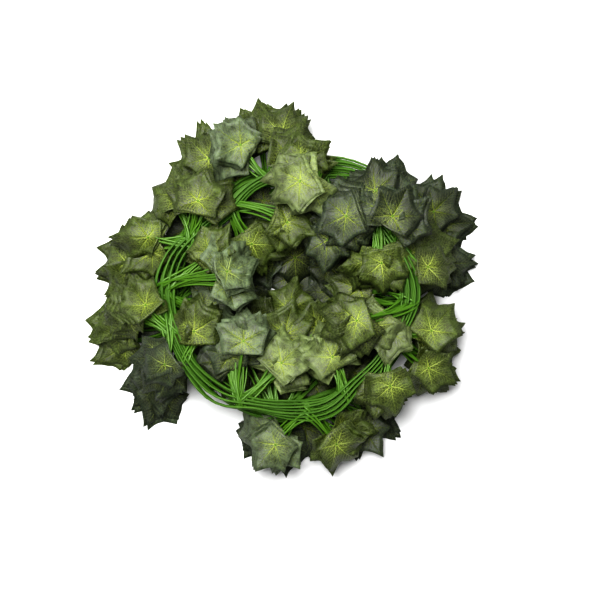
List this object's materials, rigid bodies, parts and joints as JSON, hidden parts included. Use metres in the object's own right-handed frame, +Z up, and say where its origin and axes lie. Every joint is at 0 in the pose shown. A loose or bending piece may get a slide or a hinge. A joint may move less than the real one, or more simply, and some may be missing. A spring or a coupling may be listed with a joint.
{
  "type": "coiled artificial ivy garland bundle",
  "caption": "Loose coil of artificial ivy vines with sprays of nested printed-fabric leaves, lying flat as a low round heap.",
  "frame": {"origin": "on the surface the heap rests on, under the middle of its bounding box", "axes": "+Z up from the surface, +X along the heap's longer side, +Y along its shorter side"},
  "size_m": [0.4303, 0.4035, 0.095],
  "materials": {
    "vine_plastic": "moulded green plastic with fine lengthwise ribs and a soft gloss",
    "leaf_olive": "printed polyester leaf, olive green with yellow-green veins and a faint satin sheen",
    "leaf_grey_green": "printed polyester leaf, grey-green with pale veins and a satin sheen",
    "leaf_light": "printed polyester leaf, pale yellow-green with bright veins",
    "leaf_dark": "printed polyester leaf, dark green with dim veins"
  },
  "bodies": {
    "root": {"vine_01": "vine_plastic", "vine_02": "vine_plastic", "vine_03": "vine_plastic", "vine_04": "vine_plastic", "vine_05": "vine_plastic", "vine_06": "vine_plastic", "vine_07": "vine_plastic", "vine_08": "vine_plastic", "vine_09": "vine_plastic", "vine_10": "vine_plastic", "vine_11": "vine_plastic", "vine_12": "vine_plastic", "leaf_spray_01": "leaf_olive", "leaf_spray_02": "leaf_olive", "leaf_spray_03": "leaf_olive", "leaf_spray_04": "leaf_olive", "leaf_spray_05": "leaf_dark", "leaf_spray_06": "leaf_dark", "leaf_spray_07": "leaf_dark", "leaf_spray_08": "leaf_olive", "leaf_spray_09": "leaf_dark", "leaf_spray_10": "leaf_dark", "leaf_spray_11": "leaf_dark", "leaf_spray_12": "leaf_olive", "leaf_spray_13": "leaf_dark", "leaf_spray_14": "leaf_dark", "leaf_spray_15": "leaf_olive", "leaf_spray_16": "leaf_grey_green", "leaf_spray_17": "leaf_olive", "leaf_spray_18": "leaf_olive", "leaf_spray_19": "leaf_olive", "leaf_spray_20": "leaf_olive", "leaf_spray_21": "leaf_olive", "leaf_spray_22": "leaf_olive", "leaf_spray_23": "leaf_olive", "leaf_spray_24": "leaf_olive", "leaf_spray_25": "leaf_grey_green", "leaf_spray_26": "leaf_grey_green", "leaf_spray_27": "leaf_olive", "leaf_spray_28": "leaf_dark", "leaf_spray_29": "leaf_olive", "leaf_spray_30": "leaf_dark", "leaf_spray_31": "leaf_grey_green", "leaf_spray_32": "leaf_light", "leaf_spray_33": "leaf_grey_green", "leaf_spray_34": "leaf_olive", "leaf_spray_35": "leaf_light", "leaf_spray_36": "leaf_olive", "leaf_spray_37": "leaf_olive", "leaf_spray_38": "leaf_olive", "leaf_spray_39": "leaf_olive", "leaf_spray_40": "leaf_light", "leaf_spray_41": "leaf_olive", "leaf_spray_42": "leaf_olive", "leaf_spray_43": "leaf_dark", "leaf_spray_44": "leaf_dark", "leaf_spray_45": "leaf_olive", "leaf_spray_46": "leaf_dark", "leaf_spray_47": "leaf_dark", "leaf_spray_48": "leaf_light"}
  },
  "joints": []
}
